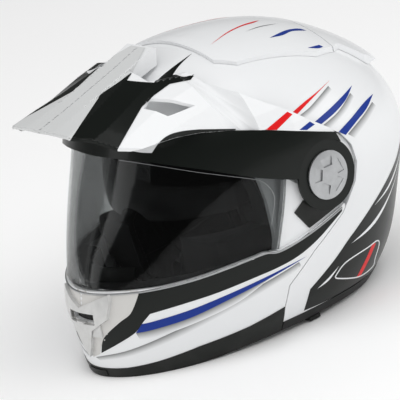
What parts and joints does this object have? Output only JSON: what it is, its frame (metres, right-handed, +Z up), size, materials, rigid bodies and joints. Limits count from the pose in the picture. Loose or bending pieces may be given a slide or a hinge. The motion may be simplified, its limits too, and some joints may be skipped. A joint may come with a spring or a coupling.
{
  "type": "flip-front sport helmet",
  "caption": "Flip-front dual sport helmet with a peak, a clear visor, a drop-down sun visor, vents, lining and a chin strap.",
  "frame": {"origin": "middle of the helmet's bounding box in plan, on the plane that its lower edge stands on", "axes": "+Z up, -Y the way the wearer faces, +X the wearer's left"},
  "size_m": [0.2764, 0.3517, 0.264],
  "materials": {
    "shell_paint": "gloss white lacquer",
    "black_gloss": "gloss black",
    "black_matte": "fine-grained black",
    "rubber": "soft black rubber",
    "clear_shield": "clear moulded shield",
    "tinted_lens": "dark smoke lens",
    "silver": "silver-painted plastic",
    "grey_plastic": "moulded grey plastic",
    "foam": "expanded bead foam",
    "lining": "knitted lining over foam",
    "webbing": "woven strap",
    "steel": "zinc-plated steel",
    "buckle_black": "black moulded plastic",
    "buckle_red": "red moulded plastic"
  },
  "bodies": {
    "root": {"outer_shell": "shell_paint", "rim_trim": "rubber", "eyeport_gasket": "rubber", "eps_liner": "foam", "comfort_liner": "lining", "cheek_pad_left": "lining", "cheek_pad_right": "lining", "neck_roll": "lining", "crown_fairing": "shell_paint", "rear_spoiler": "shell_paint", "rear_vent_grille": "black_matte", "pivot_base_left": "grey_plastic", "pivot_base_right": "grey_plastic", "pivot_cap_left": "silver", "pivot_cap_right": "silver", "pivot_screws": "steel", "sun_visor_pins": "steel", "striker_left": "steel", "striker_right": "steel", "chin_strap_left": "webbing", "chin_strap_right": "webbing", "strap_rivets": "steel", "buckle_body": "buckle_black", "buckle_ladder": "buckle_black"},
    "flip_front": {"chin_bar": "shell_paint", "chin_trim": "black_matte", "chin_bar_liner": "foam", "breath_guard": "black_matte", "chin_curtain": "lining", "visor_seal": "rubber", "chin_vent_housing": "silver", "arm_cover_left": "black_matte", "arm_cover_right": "black_matte", "latch_catch_left": "steel", "latch_catch_right": "steel", "release_housing": "black_matte"},
    "visor": {"visor_shield": "clear_shield", "peak": "shell_paint", "peak_frame": "black_gloss"},
    "sun_visor": {"sun_visor": "tinted_lens"},
    "sun_visor_slider": {"sun_visor_lever": "black_matte"},
    "vent_shutter": {"chin_vent_shutter": "black_matte"},
    "release": {"release_button": "black_matte"},
    "strap_lever": {"buckle_lever": "buckle_red"}
  },
  "joints": [
    {"name": "flip_front_hinge", "type": "hinge", "parent": "root", "child": "flip_front", "pos_m": [0, 0.0162, 0.1363], "axis": [-1, 0, 0], "range_deg": [0, 46]},
    {"name": "visor_hinge", "type": "hinge", "parent": "flip_front", "child": "visor", "pos_m": [0, 0.0162, 0.1363], "axis": [-1, 0, 0], "range_deg": [0, 22]},
    {"name": "sun_visor_hinge", "type": "hinge", "parent": "root", "child": "sun_visor", "pos_m": [0, 0.015, 0.132], "axis": [-1, 0, 0], "range_deg": [0, 36]},
    {"name": "sun_visor_slide", "type": "slide", "parent": "root", "child": "sun_visor_slider", "axis": [0, 1, 0], "range_m": [0, 0.014]},
    {"name": "chin_vent_slide", "type": "slide", "parent": "flip_front", "child": "vent_shutter", "axis": [0, 0, 1], "range_m": [0, 0.008]},
    {"name": "release_press", "type": "slide", "parent": "flip_front", "child": "release", "axis": [0, 1, 0], "range_m": [0, 0.003], "stiffness_N_per_m": 900},
    {"name": "buckle_lever_hinge", "type": "hinge", "parent": "root", "child": "strap_lever", "pos_m": [0.03, -0.014, 0.0165], "axis": [0, -1, 0], "range_deg": [0, 30]}
  ],
  "couplings": [
    {"joint": "sun_visor_slide", "follows": "sun_visor_hinge", "m_per_rad": 0.022282}
  ]
}
